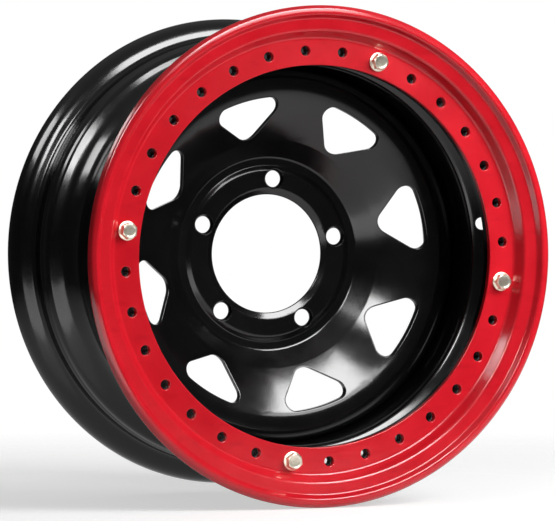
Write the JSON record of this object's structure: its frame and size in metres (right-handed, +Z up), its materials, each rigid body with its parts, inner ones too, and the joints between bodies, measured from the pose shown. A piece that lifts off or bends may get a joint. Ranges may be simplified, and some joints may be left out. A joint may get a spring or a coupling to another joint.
{
  "type": "off-road beadlock wheel",
  "caption": "Steel off-road wheel with a dished windowed disc, central hub bore and a stepped red clamp ring bolted to the front to hold the tyre bead.",
  "frame": {"origin": "on the wheel's axis, midway between the two bead flange planes", "axes": "+Y along the axis towards the hub and vehicle, so the clamp ring faces -Y; +Z up"},
  "size_m": [0.4548, 0.234, 0.4548],
  "materials": {
    "black_paint": "gloss black powder coat",
    "red_paint": "satin gloss red powder coat",
    "plated_steel": "bright zinc plate"
  },
  "bodies": {
    "root": {"rim_barrel": "black_paint", "wheel_disc": "black_paint", "lock_ring": "black_paint", "disc_welds": "black_paint", "ring_weld": "black_paint", "clamp_ring": "red_paint", "clamp_bolts": "plated_steel"}
  },
  "joints": []
}
